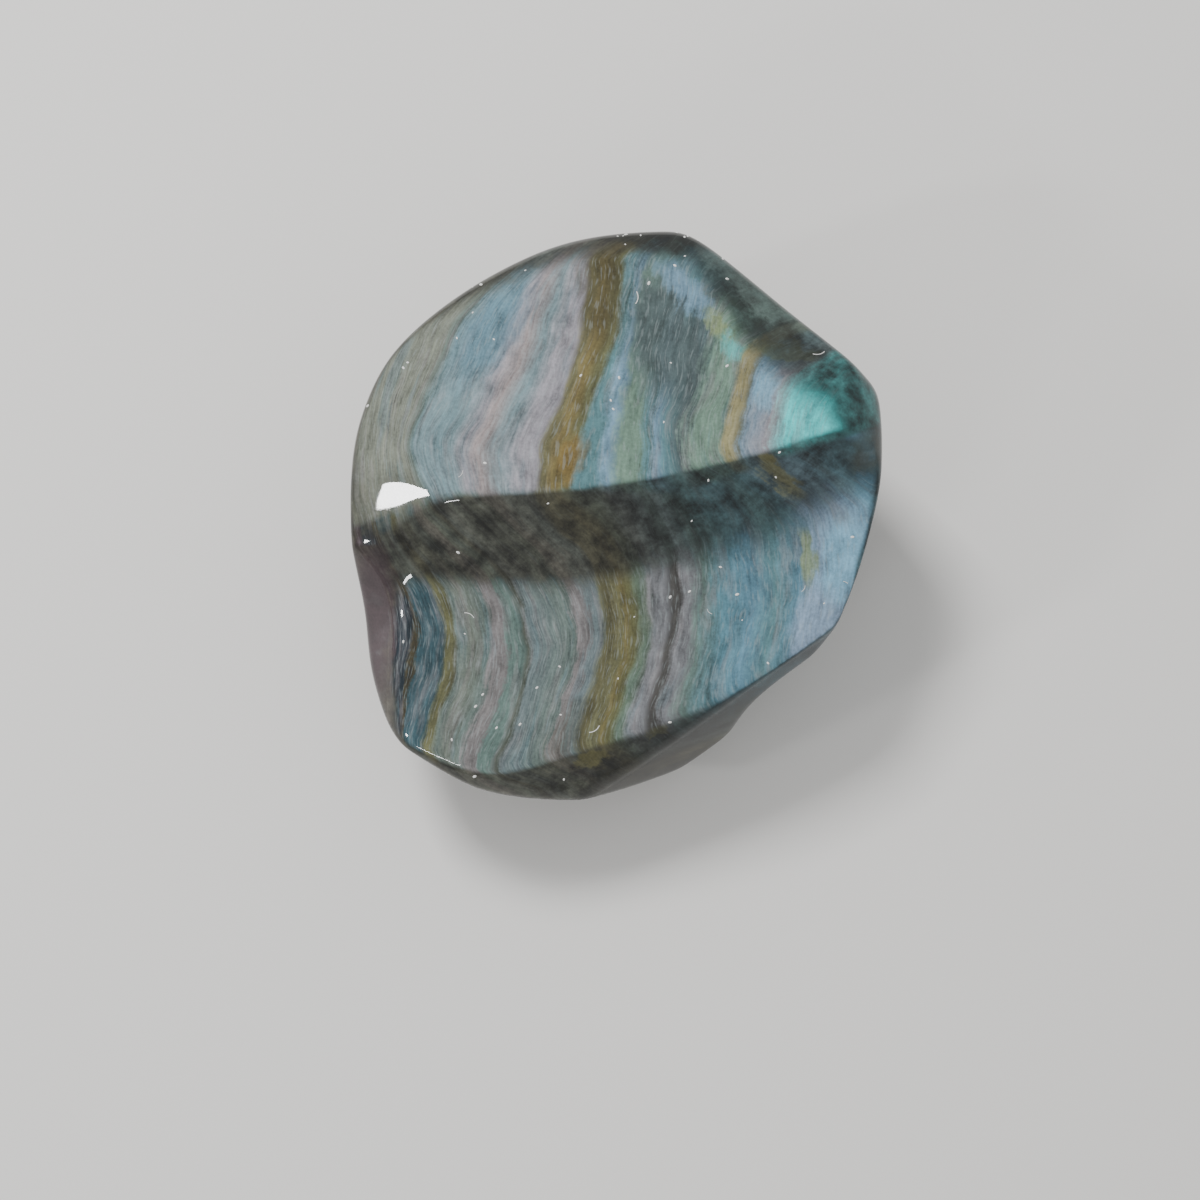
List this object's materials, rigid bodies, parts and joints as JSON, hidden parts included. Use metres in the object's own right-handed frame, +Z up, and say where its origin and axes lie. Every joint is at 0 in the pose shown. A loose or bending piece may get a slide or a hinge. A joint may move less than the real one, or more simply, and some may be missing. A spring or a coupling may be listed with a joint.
{
  "type": "polished obsidian freeform",
  "caption": "Palm-sized polished freeform of dark banded obsidian with domed faces, a broad scooped hollow across its show side and a flat face to lie on.",
  "frame": {"origin": "point of the flat rest face straight below the middle of the stone", "axes": "+Z up from the rest face, +X to the right across the show side, +Y towards the top of the show side, which leans back 15 degrees"},
  "size_m": [0.0676, 0.0719, 0.0386],
  "materials": {
    "obsidian": "high polish, near black glass with iridescent grey, blue and gold bands"
  },
  "bodies": {
    "root": {"obsidian_freeform": "obsidian"}
  },
  "joints": []
}
